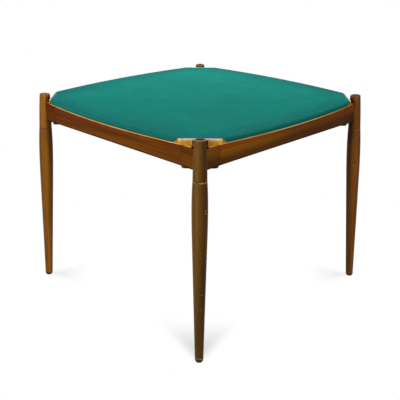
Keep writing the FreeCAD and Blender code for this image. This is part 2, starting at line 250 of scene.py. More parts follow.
def placeCamera():
    data = bpy.data.cameras.new("camera")
    camera = stand("camera", data)
    scene.camera = camera
    diagonal = math.radians(shot["corner"])
    right = Vector((math.cos(diagonal), math.sin(diagonal), 0))
    back = Vector((math.sin(diagonal), -math.cos(diagonal), 0))
    camera.location = right * shot["aside"] + back * shot["distance"] + Vector((0, 0, shot["height"]))
    swing = Matrix.Rotation(math.radians(shot["heading"]), 3, "Z")
    tilt = Matrix.Rotation(math.radians(90 - shot["pitch"]), 3, "X")
    roll = Matrix.Rotation(math.radians(shot["roll"]), 3, "Z")
    camera.rotation_euler = (swing @ tilt @ roll).to_euler()
    data.sensor_width = shot["sensor"]
    data.lens = shot["focal"] * shot["sensor"]
    data.clip_start = shot["nearest"]
    data.clip_end = shot["farthest"]


placeCamera()
print("camera placed")


# Floor, world and lamps

studio = {
    "floorSize": 30.0,
    "floorColour": (0.4, 0.4, 0.4),
    "worldLight": 0.15,
    "aimShare": 0.75,  # of the top's height, where the lamps point
}
# A foot's shadow is a fan on the floor, from just outside the foot towards the table's middle
footShadow = {
    "apex": 0.03,  # outside the foot
    "spread": 0.58,  # half width over length
    "edge": (-0.05, 0.012),  # soft border across the fan
    "start": (-0.012, 0.02),  # soft border at the foot
    "full": -0.02,  # where the fading starts
    "reach": {"front_right": 0.28, "back_right": 0.17, "back_left": 0.14, "front_left": 0.17},
    "depth": {"front_right": 0.55, "back_right": 0.36, "back_left": 0.12, "front_left": 0.36},
}
lamps = {
    "keyLamp": {"place": (0.3, -3.1, 1.6), "size": 1.6, "power": 74},
    "fillLamp": {"place": (2.9, 0.4, 1.3), "size": 1.4, "power": 42},
    "topLamp": {"place": (-2.0, 2.0, 2.6), "size": 2.0, "power": 130},
}


def seenDirectly(wires):
    # 1 for what the camera sees, also in a mirror or through glass
    path = wires.add("LightPath").socket.node.outputs
    kinds = ("Is Camera Ray", "Is Glossy Ray", "Is Transmission Ray")
    camera, glossy, transmitted = [Wire(wires.tree, path[kind]) for kind in kinds]
    return camera.most(glossy).most(transmitted)


def shadowOf(corner, x, y):
    look = footShadow
    foot = postTop[corner] + legAxis[corner] * (postTop[corner].z / -legAxis[corner].z)
    outward = foot.normalized()
    along = (foot.x - x) * outward.x + (foot.y - y) * outward.y
    across = abs((y - foot.y) * outward.x - (x - foot.x) * outward.y)
    fan = 1 - (across - (along + look["apex"]) * look["spread"]).step(*look["edge"])
    near = along.step(*look["start"]) * (1 - along.step(look["full"], look["reach"][corner]))
    return fan * near * look["depth"][corner]


def layFloor():
    bpy.ops.mesh.primitive_plane_add(size=studio["floorSize"])
    floor = bpy.context.object
    floor.name = "floor"
    material = bpy.data.materials.new("paleFloor")
    wires = emptyTree(material)
    x, y = wires.place().parts()[:2]
    shadow = 0.0
    for corner in corners:
        shadow = shadowOf(corner, x, y) + shadow
    matt = wires.add("BsdfDiffuse", None, {"Color": (*studio["floorColour"], 1)})
    white = wires.add("Emission", None, {"Color": (1, 1, 1, 1), "Strength": 1.0})
    both = wires.add("MixShader", None, {0: seenDirectly(wires) * (1 - shadow), 1: matt, 2: white})
    wires.add("OutputMaterial", None, {"Surface": both})
    floor.data.materials.append(material)


def lightWorld():
    scene.world = bpy.data.worlds.new("studio")
    wires = emptyTree(scene.world)
    seen = seenDirectly(wires)
    strength = seen + (1 - seen) * studio["worldLight"]
    sky = wires.add("Background", None, {"Color": (1, 1, 1, 1), "Strength": strength})
    wires.add("OutputWorld", None, {"Surface": sky})


def hangLamps():
    aim = Vector((0, 0, panelTop * studio["aimShare"]))
    for name, lamp in lamps.items():
        data = bpy.data.lights.new(name, "AREA")
        data.size = lamp["size"]
        data.energy = lamp["power"]
        holder = stand(name, data)
        holder.location = lamp["place"]
        holder.rotation_euler = (aim - Vector(lamp["place"])).to_track_quat("-Z", "Y").to_euler()


layFloor()
lightWorld()
hangLamps()
scene.view_settings.view_transform = "Standard"
print("floor, world and lamps")


# Wood grain: noise drawn out along the third axis of the space it gets

# A noise in a look is its scale, detail, roughness and distortion; an unmarked pair is a step's two ends
grainLook = {
    "along": 0.03,  # how much slower the grain changes along the wood
    "bands": (24, 2, 0.5, 0.5),
    "bandDepth": 1.3,
    "streaks": (95, 3, 0.55, 0.2),
    "streakDepth": 1.2,
    "fibres": (800, 2, 0.6),
    "fibreDepth": 0.8,
    "pores": (1300, 1),
    "poreSteps": (0.6, 0.72),
    "poreCover": 0.5,
    "turnSteps": (-0.1, 0.1),  # between faces along X and along Y
}


def woodGrain(grain, look):
    drawn = grain.moved("MULTIPLY", (1, 1, grainLook["along"]))
    bands = drawn.noise(*grainLook["bands"]).swing(grainLook["bandDepth"])
    streaks = drawn.noise(*grainLook["streaks"]).swing(grainLook["streakDepth"])
    fibres = drawn.noise(*grainLook["fibres"])
    tone = (bands + streaks + fibres.swing(grainLook["fibreDepth"]) + 0.5).step(0.0, 1.0)
    pores = drawn.noise(*grainLook["pores"]).step(*grainLook["poreSteps"]) * grainLook["poreCover"]
    colour = pores.mix(tone.mix(look["dark"], look["light"]), look["pore"])
    return colour, fibres - pores


def boardSpace(wires, lengthwise=None, shift=0.0):
    # grain along X or Y; without a choice it follows the level run of each upright face
    x, y, z = wires.place().parts()
    if lengthwise is None:
        outX, outY = wires.facing()[:2]
        turned = (abs(outX) - abs(outY)).step(*grainLook["turnSteps"])
    else:
        turned = 1.0 if lengthwise == "Y" else 0.0
    across = y + (x - y) * turned
    along = x + (y - x) * turned
    return wires.joined(across + shift, z, along + shift)


# Turned posts and legs

turnedLook = {
    "light": (0.215, 0.095, 0.0125),
    "dark": (0.085, 0.036, 0.0045),
    "pore": (0.035, 0.014, 0.002),
    "roughness": 0.46,
    "reliefRough": 0.12,
    "bump": 0.00006,
    "specular": 0.06,
    "patch": (170, 3, 0.6),  # noise for the patchy pale rims and ragged spots
    "soft": 0.001,
    "shadeSteps": (-0.006, 0.02),  # across the leg
    "lowLegAndShadowDark": (0.02, 0.01, 0.004),  # darker lower legs, and the painted shadow just below the frame
    "lowSteps": (0.25, 0.62),
    "underSteps": (-0.005, 0.018),  # the frame's shade: across the leg, and down it
    "underStart": (0.08, 0.095),
    "underEnd": (0.125, 0.2),
    "crownPaleAndHighlight": (0.3, 0.17, 0.07),
    "crownDepth": 0.0055,  # of the pale rim below the crown: wear and a painted highlight
    "crownSoft": 0.002,
    "crownPatch": (0.3, 0.6),
    "crownRimSoft": 0.003,
    "endRadius": 0.0135,  # of the crown's darker middle
    "endCover": 0.85,
    "endRough": 0.45,
    "seamDark": (0.035, 0.016, 0.005),
    "seamReach": 0.002,
    "seamSoft": 0.0015,
    "rimPaleAndHighlight": (0.42, 0.27, 0.12),
    "rimStart": 0.0008,
    "rimReach": 0.003,
    "rimNoise": (55, 2),
    "rimSteps": (0.28, 0.55),
    "footPale": (0.36, 0.27, 0.16),
    "footRim": (0.012, 0.007),  # above the foot
    "footSoft": 0.002,
    "footPatch": (0.46, 0.6),
    "footDark": (0.014, 0.009, 0.005),
    "footGrime": (0.008, 0.003),  # above the foot
    "footCover": 0.9,
    "bare": (0.32, 0.21, 0.115),  # in a chip of the finish
    "knot": (0.17, 0.085, 0.02),
    "knotDark": (0.05, 0.018, 0.004),
    "spotRagged": 0.004,
    "spotCore": 0.4,  # share of a spot's size
    "spotCover": 0.7,
    "swellRadius": 0.0255,
    "swellShare": 0.15,  # of the leg's length, before it tapers
    "footRadius": 0.0145,
}
# Turns are in degrees from the outward side; a spot has its drop below the crown, turn, size and colour
# A leg's tint and post tint are painted light and shade, for how brightly light falls on that leg and
# its post; its shades are painted shade on its sides
legLooks = {
    "front_right": {
        "tint": (0.82, 0.87, 0.92),
        "paintedPostLight": (1, 1, 1),
        "endGrain": (0.075, 0.03, 0.008),  # the crown's middle
        "shades": [(75, (0.5, 0.4, 0.25))],
        "lowTone": 0.7,
        "wornAndHighlight": 0.7,  # how pale the crown's rim, the joint's edge and the foot's rim are: wear, with a painted highlight on the crown's rim and the joint's edge
        "seamLine": 0.7,
        "under": 0.0,  # painted shadow of the frame on the inward side below it
        "spots": [
            (0.219, 47, 0.0036, "bare"),
            (0.2275, 46, 0.0036, "bare"),
            (0.373, 8, 0.0022, "bare"),
            (0.5, 24, 0.0032, "bare"),
            (0.551, 18, 0.0022, "bare"),
        ],
    },
    "back_right": {
        "tint": (1.04, 0.76, 0.56),
        "paintedPostLight": (1, 1, 1),
        "endGrain": (0.06, 0.038, 0.02),
        "shades": [(172, (0.48, 0.5, 0.54)), (13, (0.66, 0.66, 0.7))],
        "lowTone": 0.85,
        "wornAndHighlight": 0.15,
        "seamLine": 0.25,
        "under": 0.7,
        "spots": [(0.254, -88, 0.007, "knotDark"), (0.269, -88, 0.0075, "knot")],
    },
    "back_left": {
        "tint": (1.1, 1.0, 0.85),
        "paintedPostLight": (1, 1, 1),
        "endGrain": (0.12, 0.06, 0.02),
        "shades": [(180, (0.7, 0.68, 0.65))],
        "lowTone": 0.9,
        "wornAndHighlight": 0.3,
        "seamLine": 0.4,
        "under": 0.5,
        "spots": [],
    },
    "front_left": {
        "tint": (1.66, 1.36, 0.95),
        "paintedPostLight": (1.3, 1.3, 1.5),
        "endGrain": (0.28, 0.14, 0.04),
        "shades": [(10, (0.64, 0.67, 0.75)), (195, (0.48, 0.48, 0.5))],
        "lowTone": 0.98,
        "wornAndHighlight": 0.12,
        "seamLine": 0.5,
        "under": 0.2,
        "spots": [],
    },
}


def turnedSpace(wires, corner):
    # object space with Z along the leaning axis and 0 at the post's crown
    along, across = corners[corner]
    lean = -math.acos(-legAxis[corner].z)
    spin = {"Center": postTop[corner], "Axis": (across, -along, 0), "Angle": lean}
    settings = {"rotation_type": "AXIS_ANGLE"}
    upright = wires.add("VectorRotate", settings, {"Vector": wires.place(), **spin})
    return upright.moved("SUBTRACT", postTop[corner])


def heading(corner, turn):
    along, across = corners[corner]
    angle = math.atan2(across, along) + math.radians(turn)
    return Vector((math.cos(angle), math.sin(angle), 0))


def spotPlace(drop, turn, corner):
    # a point on the leg's skin
    look = turnedLook
    seam, foot = dropsOf("leg_" + corner, corner)
    taper = max(0, (drop - seam) / (foot - seam) - look["swellShare"]) / (1 - look["swellShare"])
    radius = look["swellRadius"] - (look["swellRadius"] - look["footRadius"]) * taper
    return heading(corner, turn) * radius + Vector((0, 0, -drop))


def turnedShade(colour, corner, x, y, drop):
    # the leg's tint, which is painted light and shade for how light falls on that leg, its darker lower
    # part, painted shade on its sides, and the frame's painted shadow on it
    look, own = turnedLook, legLooks[corner]
    seam = dropsOf("leg_" + corner, corner)[0]
    lower = drop.step(*look["lowSteps"]) * (1 - own["lowTone"])
    colour = lower.mix(colour.tinted(own["tint"]), look["lowLegAndShadowDark"])
    colour = drop.step(seam - look["soft"], seam).mix(colour.tinted(own["paintedPostLight"]), colour)
    for turn, shade in own["shades"]:
        away = heading(corner, turn)
        facing = x * away.x + y * away.y
        colour = colour.tinted(facing.step(*look["shadeSteps"]).mix((1, 1, 1), shade))
    # painted shadow of the frame on the leg's inward side, just below the frame
    inward = heading(corner, 180)
    under = (x * inward.x + y * inward.y).step(*look["underSteps"]) * own["under"]
    under = under * drop.step(*look["underStart"]) * (1 - drop.step(*look["underEnd"]))
    return under.mix(colour, look["lowLegAndShadowDark"])


def turnedWear(colour, corner, grain, patch, drop):
    # the joint's dark line and its pale rim, which is wear and a painted highlight, the foot, and chips
    # or knots
    look, own = turnedLook, legLooks[corner]
    seam, foot = dropsOf("leg_" + corner, corner)
    above = drop.within(seam - look["seamReach"], seam, look["seamSoft"])
    colour = (above * own["seamLine"]).mix(colour, look["seamDark"])
    # the rim below the joint, paler: wear and a painted highlight where its chamfer catches the light
    rim = drop.within(seam + look["rimStart"], seam + look["rimReach"], look["soft"])
    rim = rim * grain.noise(*look["rimNoise"]).step(*look["rimSteps"])
    colour = (rim * own["wornAndHighlight"]).mix(colour, look["rimPaleAndHighlight"])
    high, low = look["footRim"]
    rim = drop.within(foot - high, foot - low, look["footSoft"]) * patch.step(*look["footPatch"])
    colour = (rim * own["wornAndHighlight"]).mix(colour, look["footPale"])
    high, low = look["footGrime"]
    colour = (drop.step(foot - high, foot - low) * look["footCover"]).mix(colour, look["footDark"])
    for spotDrop, turn, size, stain in own["spots"]:
        distance = grain.apart(spotPlace(spotDrop, turn, corner)) + patch.swing(look["spotRagged"])
        spot = 1 - distance.step(size * look["spotCore"], size)
        colour = (spot * look["spotCover"]).mix(colour, look[stain])
    return colour


def turnedWood(corner):
    look, own = turnedLook, legLooks[corner]
    wires, close = newFinish("turnedWood_" + corner)
    grain = turnedSpace(wires, corner)
    x, y, z = grain.parts()
    drop = 0 - z
    patch = grain.noise(*look["patch"])
    colour, relief = woodGrain(grain, look)
    colour = turnedShade(colour, corner, x, y, drop)
    out = grain.joined(x, y, 0.0).apart((0, 0, 0))
    # the crown's rim, paler in patches: wear and a painted highlight where the rim catches the light
    crown = 1 - drop.step(look["crownDepth"] - look["crownSoft"], look["crownDepth"])
    wornAndHighlight = crown * out.step(look["endRadius"], look["endRadius"] + look["crownRimSoft"])
    colour = (wornAndHighlight * patch.step(*look["crownPatch"]) * own["wornAndHighlight"]).mix(colour, look["crownPaleAndHighlight"])
    middle = crown * (1 - out.step(look["endRadius"], look["endRadius"] + look["crownSoft"]))
    colour = (middle * look["endCover"]).mix(colour, own["endGrain"])
    return close(
        Base_Color=turnedWear(colour, corner, grain, patch, drop),
        Roughness=look["roughness"] + relief * look["reliefRough"] + middle * look["endRough"],
        bumpHeight=relief,
        bumpDistance=look["bump"],
        Specular_IOR_Level=look["specular"],
    )


for corner in corners:
    paint(turnedWood(corner), "post_" + corner, "leg_" + corner, sharp=turnedSharp)
print("turned posts and legs")


# Frame: drawer fronts, corner blocks, bearers and top rails in a redder stain

frameLook = {
    "light": (0.19, 0.056, 0.0022),
    "dark": (0.082, 0.021, 0.001),
    "pore": (0.04, 0.012, 0.001),
    "roughness": 0.48,
    "reliefRough": 0.12,
    "bump": 0.00006,
    "specular": 0.04,
    "red": (0.14, 0.024, 0.001),  # upper part, under the top's overhang
    "redFrom": 0.45,  # share of the frame's height
    "redStretch": (1, 1, 0.2),
    "redPatch": (38, 2, 0.5),
    "redSteps": (0.38, 0.6),
    "redCover": 0.75,
    "edge": (0.018, 0.008, 0.002),  # painted shade along the lower edge
    "edgeReach": 0.0045,
    "edgeSoft": 0.001,
    "edgeCover": 0.85,
    "sideward": (0.5, 0.8),  # of a face that looks to the right or to the front
    "bright": (1.58, 1.74, 0.9),  # painted light on the upper half of the right side
    "brightFar": (0.98, 0.86, 0.4),  # towards its rear end
    "deep": (0.49, 0.56, 0.6),  # painted shade on its lower half
    "deepFar": (0.36, 0.335, 0.3),
    "farSteps": (-0.25, 0.16),
    "halves": (0.01, 0.048),  # above the lower edge, from deep to bright
    "rearRise": 0.012,  # of the halves, towards the rear
    "rearSteps": (-0.3, 0.4),
    "frontRise": 0.004,
    "frontSteps": (-0.36, -0.12),
    "frontFar": (0.82, 0.71, 0.6),  # left end of the front side
    "frontFarSteps": (-0.36, -0.1),
    "upward": (0.6, 0.9),
    "upwardRough": 0.4,
    "upwardDark": (0.012, 0.006, 0.002),
    "frontShade": 0.4,  # darkening of what looks up
    "blockShade": 0.9,
    "frontShift": 0.7,  # of the grain, from one front to the next
    "blockShift": 2.9,
    "railShift": 1.7,
}
honeyLook = {
    "light": (0.64, 0.3, 0.025),
    "dark": (0.44, 0.175, 0.012),
    "pore": (0.25, 0.09, 0.01),
    "roughness": 0.5,
    "reliefRough": 0.1,
    "upwardRough": 0.38,
    "shift": 0.31,
    "dirt": (0.3, 0.19, 0.09),
    "dirtNoise": (300, 3, 0.6),
    "dirtSteps": (0.56, 0.68),
    "dirtCover": 0.4,
    "upright": (0.5, 0.9),
    "low": (0.15, 0.055, 0.004),  # along the plate's lower edge
    "lowReach": 0.003,
    "lowCover": 0.8,
    "slot": (0.012, 0.006, 0.002),
    "slotRadius": 0.03,
    "slotSoft": 0.001,
    "slotCover": 0.95,
}
# How far the stain covers a plate's outer edge, the plate's tone and that of the block below it
plateStain = {"front_right": 0.05, "back_right": 0.6, "back_left": 0.05, "front_left": 0.95}
plateTints = {
    "front_right": (1.12, 1.2, 1.7),
    "back_right": (0.85, 0.8, 1.3),
    "back_left": (1, 1, 1),
    "front_left": (1.0, 1.08, 1.8),
}
blockTints = {
    "front_right": (0.74, 0.79, 0.9),
    "back_right": (1.1, 1.08, 1.05),
    "back_left": (0.85, 0.88, 0.95),
    "front_left": (0.86, 0.86, 0.86),
}


def stainedBoard(wires, grain):
    look = frameLook
    x, y, z = wires.place().parts()
    outX, outY = wires.facing()[:2]
    colour, relief = woodGrain(grain, look)
    patch = grain.moved("MULTIPLY", look["redStretch"]).noise(*look["redPatch"])
    redLow = railLow + (railHigh - railLow) * look["redFrom"]
    red = z.step(redLow, railHigh) * patch.step(*look["redSteps"])
    colour = (red * look["redCover"]).mix(colour, look["red"])
    # painted light and shade on the right side: lighter above and darker below, the line between them
    # rising towards both ends, and darker towards the rear
    rise = y.step(*look["rearSteps"]) * look["rearRise"]
    rise = rise + (1 - y.step(*look["frontSteps"])) * look["frontRise"]
    low, high = look["halves"]
    upper = (z - rise).step(railLow + low, railLow + high)
    far = y.step(*look["farSteps"])
    deep = far.mix(look["deep"], look["deepFar"])
    bright = far.mix(look["bright"], look["brightFar"])
    colour = outX.step(*look["sideward"]).mix(colour, colour.tinted(upper.mix(deep, bright)))
    frontFar = (0 - outY).step(*look["sideward"]) * (1 - x.step(*look["frontFarSteps"]))
    colour = frontFar.mix(colour, colour.tinted(look["frontFar"]))
    # painted shade along the lower edge
    lower = z.within(railLow, railLow + look["edgeReach"], look["edgeSoft"])
    return (lower * look["edgeCover"]).mix(colour, look["edge"]), relief


def frameWood(name, lengthwise, shift, tint=(1, 1, 1), shadeAbove=0.0):
    # shadeAbove darkens the faces that look up
    look = frameLook
    wires, close = newFinish(name)
    colour, relief = stainedBoard(wires, boardSpace(wires, lengthwise, shift))
    upward = wires.facing()[2].step(*look["upward"])
    return close(
        Base_Color=(upward * shadeAbove).mix(colour.tinted(tint), look["upwardDark"]),
        Roughness=look["roughness"] + relief * look["reliefRough"] + upward * look["upwardRough"],
        bumpHeight=relief,
        bumpDistance=look["bump"],
        Specular_IOR_Level=look["specular"],
    )


def plateWood(corner):
    # clear wood with a stained outer edge, and painted shade in the slot round the post
    look = honeyLook
    wires, close = newFinish("plateWood_" + corner)
    grain = boardSpace(wires, None, look["shift"])
    stained, relief = stainedBoard(wires, grain)
    x, y, z = wires.place().parts()
    outZ = wires.facing()[2]
    dirt = grain.noise(*look["dirtNoise"]).step(*look["dirtSteps"]) * look["dirtCover"]
    clear = dirt.mix(woodGrain(grain, look)[0], look["dirt"]).tinted(plateTints[corner])
    upright = 1 - outZ.step(*look["upright"])
    colour = (upright * plateStain[corner]).mix(clear, stained)
    low = upright * (1 - z.step(railHigh, railHigh + look["lowReach"]))
    colour = (low * look["lowCover"]).mix(colour, look["low"])
    # painted shade in the slot round the post
    fromPost = wires.joined(x, y, 0.0).apart((postTop[corner].x, postTop[corner].y, 0))
    slot = upright * (1 - fromPost.step(look["slotRadius"], look["slotRadius"] + look["slotSoft"]))
    upward = outZ.step(*frameLook["upward"])
    return close(
        Base_Color=(slot * look["slotCover"]).mix(colour, look["slot"]),
        Roughness=look["roughness"] + relief * look["reliefRough"] + upward * look["upwardRough"],
        bumpHeight=relief,
        bumpDistance=frameLook["bump"],
        Specular_IOR_Level=frameLook["specular"],
    )


def dressFrame():
    look = frameLook
    for number, side in enumerate(sides):
        lengthwise = "X" if side in ("front", "back") else "Y"
        shift = look["frontShift"] * number
        wood = frameWood("frontWood_" + side, lengthwise, shift, shadeAbove=look["frontShade"])
        paint(wood, "drawer_front_" + side, sharp=boardSharp)
    for corner in corners:
        tint = blockTints[corner]
        blockWood = frameWood("blockWood_" + corner, None, look["blockShift"], tint, look["blockShade"])
        paint(blockWood, "corner_block_" + corner, "corner_bearer_" + corner)
        paint(plateWood(corner), "corner_plate_" + corner, sharp=boardSharp)
    paint(frameWood("topRailWood", None, look["railShift"]), "top_rails")


dressFrame()
print("frame")


# Loose top's boards and the bare wood at its cuts

lippingLook = {
    "roughness": 0.6,
    "bump": 0.00005,
    "specular": 0.04,
    "patch": (120, 3, 0.6),
    "paleSteps": (0.3, 0.7),
    "pale": (0.72, 0.57, 0.47),
    "dull": (0.55, 0.42, 0.34),
    "bareDepth": 0.0042,  # below the baize
    "ragged": 0.004,
    "soft": 0.001,
    "rubbedAndShade": 0.0245,  # half width of the painted shade behind the post
    "postShadeCover": 0.95,
    "dark": (0.016, 0.008, 0.003),
    "frontTint": (1.22, 1.35, 2.0),  # of the clear wood below the bare strip, at the front corner
    "otherTint": (0.55, 0.6, 1.2),
}
backingLook = {
    "light": (0.58, 0.4, 0.21),
    "dark": (0.42, 0.26, 0.12),
    "pore": (0.3, 0.17, 0.07),
    "roughness": 0.6,
    "bump": 0.00005,
    "specular": 0.05,
    "shift": 0.4,
    "level": (0.4, 0.7),  # of a face that looks up or down
    "edgeLight": (0.6, 0.38, 0.17),
    "edgeWarm": (0.56, 0.26, 0.075),
    "warmNoise": (16, 3, 0.6),
    "warmSteps": (0.42, 0.62),
    "edgeRight": (0.86, 0.88, 0.9),
    "edgeFar": (0.46, 0.52, 0.6),  # rear end of the right side
    "farSteps": (0.15, 0.4),
    "frontCut": (0.4, 0.17, 0.016),  # bared at the cloth's ends, at the front corner
    "otherCuts": (0.2, 0.1, 0.022),
    "cutReach": 0.034,
    "cutSoft": 0.004,
    "cutDepth": 0.0005,
}


def lippingWood():
    look = lippingLook
    wires, close = newFinish("lippingWood")
    grain = boardSpace(wires)
    x, y, z = wires.place().parts()
    honey, relief = woodGrain(grain, honeyLook)
    patch = grain.noise(*look["patch"])
    line = panelTop - look["bareDepth"]
    bare = (z + patch.swing(look["ragged"])).step(line - look["soft"], line + look["soft"])
    aside = abs(abs(x) - abs(y)) * math.sqrt(0.5)
    # painted shade on the lipping behind the post, in the deep gap between them
    rubbedAndShade = 1 - aside.step(look["rubbedAndShade"] - look["soft"], look["rubbedAndShade"])
    tint = (x - y).step(*frontCorner).mix(look["otherTint"], look["frontTint"])
    honey = (rubbedAndShade * look["postShadeCover"]).mix(honey.tinted(tint), look["dark"])
    return close(
        Base_Color=bare.mix(honey, patch.step(*look["paleSteps"]).mix(look["dull"], look["pale"])),
        Roughness=look["roughness"],
        bumpHeight=relief,
        bumpDistance=look["bump"],
        Specular_IOR_Level=look["specular"],
    )


def backingWood():
    look = backingLook
    wires, close = newFinish("backingWood")
    veneer, relief = woodGrain(boardSpace(wires, "X", look["shift"]), look)
    place = wires.place()
    x, y, z = place.parts()
    outX, outZ = wires.facing()[::2]
    warm = place.noise(*look["warmNoise"]).step(*look["warmSteps"])
    edge = warm.mix(look["edgeLight"], look["edgeWarm"])
    right = y.step(*look["farSteps"]).mix(look["edgeRight"], look["edgeFar"])
    edge = outX.step(*frameLook["sideward"]).mix(edge, edge.tinted(right))
    line = panelReach - look["cutReach"]
    bared = (abs(x) + abs(y)).step(line, line + look["cutSoft"])
    bared = bared * z.step(backingTop - look["cutDepth"], backingTop)
    edge = bared.mix(edge, (x - y).step(*frontCorner).mix(look["otherCuts"], look["frontCut"]))
    return close(
        Base_Color=abs(outZ).step(*look["level"]).mix(edge, veneer),
        Roughness=look["roughness"],
        bumpHeight=relief,
        bumpDistance=look["bump"],
        Specular_IOR_Level=look["specular"],
    )


paint(lippingWood(), "corner_lippings", sharp=boardSharp)
paint(backingWood(), "top_backing", "top_board")
print("top's boards")


# Inner rails, drawer boxes and runners in plain planed wood

carcassLook = {
    "light": (0.62, 0.43, 0.23),
    "dark": (0.46, 0.28, 0.125),
    "pore": (0.36, 0.2, 0.085),
    "roughness": 0.62,
    "reliefRough": 0.1,
    "bump": 0.00008,
    "specular": 0.25,
    "crossShift": 0.6,
    "runnerShift": 1.3,
}


def carcassWood(name, lengthwise, shift):
    look = carcassLook
    wires, close = newFinish(name)
    colour, relief = woodGrain(boardSpace(wires, lengthwise, shift), look)
    return close(
        Base_Color=colour,
        Roughness=look["roughness"] + relief * look["reliefRough"],
        bumpHeight=relief,
        bumpDistance=look["bump"],
        Specular_IOR_Level=look["specular"],
    )


def dressCarcass():
    alongX = carcassWood("carcassWoodX", "X", 0.0)
    alongY = carcassWood("carcassWoodY", "Y", carcassLook["crossShift"])
    for side in sides:
        level, crosswise = (alongX, alongY) if side in ("front", "back") else (alongY, alongX)
        paint(level, "inner_rail_" + side, "drawer_back_" + side, "drawer_bottom_" + side)
        paint(crosswise, "drawer_sides_" + side)
    paint(carcassWood("runnerWood", None, carcassLook["runnerShift"]), "drawer_runners")


dressCarcass()
print("inner rails and drawers")


# Baize: one cloth over the top's face, turned down over its bowed sides

clothCut = {
    "sideRadius": 2.25,  # of the bowed sides
    "rim": 0.0014,  # rounding where the cloth turns over an edge
    "thickness": 0.0012,
    "sidePoints": 44,
    "cutPoints": 6,
    "rings": 40,
    "rimSteps": 4,
    "bandSteps": 3,
    "bandClear": 0.0001,  # of the turned-down sides above the backing
    "trim": 0.02,  # cut away at each end of a turned-down side, at its lower edge
    "unevenness": 0.00015,
    "waves": 9,
    "waveSeed": 0.7,
    "flatEdge": 6,  # power that keeps the border even
    "sharp": 50,
}
bandFoot = backingTop + clothCut["bandClear"]
clothLook = {
    "roughness": 0.95,
    "bump": 0.0004,
    "specular": 0.01,
    "colour": (0.008, 0.222, 0.178),
    "pale": (0.013, 0.27, 0.225),
    "cloud": (5, 3, 0.55),
    "cloudSteps": (0.3, 0.7),
    "paleCover": 0.25,
    "edgeSteps": (0.005, 0.11),  # from the bowed sides
    "soiledAndShaded": (0.007, 0.165, 0.135),  # along the edges: soiling and painted shade
    "soiledAndShadedDepth": (0.6, 0.5),  # with the clouds, and everywhere
    "blotch": (19, 3, 0.6),
    "blue": (0.013, 0.2, 0.235),
    "blueSteps": (0.46, 0.64),
    "blueCover": 0.6,
    "green": (0.012, 0.24, 0.15),
    "greenSteps": (0.34, 0.47),
    "greenCover": 0.5,
    "wornAndHighlight": (0.1, 0.36, 0.31),
    "streak": (60, 3, 0.6),
    "streakStretch": (0.35, 1, 1),
    "streakSteps": (0.62, 0.74),
    "streakDepth": (0.6, 0.1),  # at the edge, and everywhere
    "wornCover": 0.35,
    "bald": (0.045, 0.36, 0.34),  # small rubbed spots
    "flecks": (420, 1),
    "fleckSteps": (0.72, 0.78),
    "spots": (34, 1),
    "spotSteps": (0.7, 0.8),
    "baldCover": 0.35,
    "rubbedAndShade": (13, 5, 0.65),
    "rubbedDark": (0.78, 0.8, 0.8),
    "rubbedLight": (1.22, 1.2, 1.2),
    "border": (0.005, 0.12, 0.1),  # darker along the edge
    "borderSteps": (0.001, 0.01),
    "borderCover": 0.35,
    "backSteps": (0.004, 0.018),  # of the border along the rear sides
    "backFrom": (-0.3, 0.1),
    "backCover": 0.7,
    "paintedBackLight": (1.1, 1.12, 1.13),  # painted light towards the rear corner
    # painted shade towards the front corner
    "paintedFrontShade": (0.9, 0.92, 0.92),
    "toneSteps": (-0.8, 0.8),
    "nap": (1500, 3, 0.65),
    "shaded": (0.82, 0.82, 0.82),
    "lit": (1.18, 1.18, 1.18),
    "upward": (0.3, 0.9),
    "side": (0.0055, 0.105, 0.085),  # painted shade on the cloth turned down over the right side
    "fold": (0.008, 0.165, 0.138),  # top of that side, lighter
    "foldSteps": (0.0025, 0.0055),
    "rightward": (0.3, 0.7),
    "otherSides": (0.012, 0.18, 0.155),
    "frontSide": (0.0095, 0.138, 0.11),  # front side, towards the front corner
    "frontSteps": (-0.25, 0.2),
    "lowBandDark": (0.009, 0.085, 0.064),
    "lowBandSteps": (0.007, 0.0145),
    "lowBandFrom": (-0.35, 0.0),
    "lowBandDepth": (0.5, 0.35),  # towards the front corner, and everywhere
}


def clothOutline(trim=0.0):
    # side by side: the points of a bowed side, marked True, then those of the cut after it
    radius, half = clothCut["sideRadius"], panelHalf
    offset = panelReach + radius - half
    along = (offset - math.sqrt(2 * radius**2 - offset**2)) / 2
    spread = math.asin(along / radius) - trim / radius
    middle = Vector((0, radius - half))
    first, last = Vector((along, along - panelReach)), Vector((panelReach - along, -along))
    points = []
    for quarter in range(4):
        turn = Matrix.Rotation(math.radians(90) * quarter, 2)
        for index in range(clothCut["sidePoints"] + 1):
            angle = -spread + 2 * spread * index / clothCut["sidePoints"]
            bowed = middle + radius * Vector((math.sin(angle), -math.cos(angle)))
            points.append((turn @ bowed, True))
        for index in range(1, clothCut["cutPoints"]):
            points.append((turn @ first.lerp(last, index / clothCut["cutPoints"]), False))
    return points


def inwardOf(points):
    inward = []
    for index, point in enumerate(points):
        before = point - points[index - 1]
        after = points[(index + 1) % len(points)] - point
        first = Vector((-before.y, before.x)).normalized()
        second = Vector((-after.y, after.x)).normalized()
        middle = (first + second).normalized()
        inward.append(middle / middle.dot(first))
    return inward


def onTop(point, share):
    # a place on the cloth's face, part of the way from its middle to its edge
    waves = clothCut["waves"]
    wave = noise.noise(Vector((point.x * share * waves, point.y * share * waves, clothCut["waveSeed"])))
    sag = clothCut["unevenness"] * (1 + wave) * (1 - share ** clothCut["flatEdge"])
    return Vector((point.x * share, point.y * share, panelTop - sag))


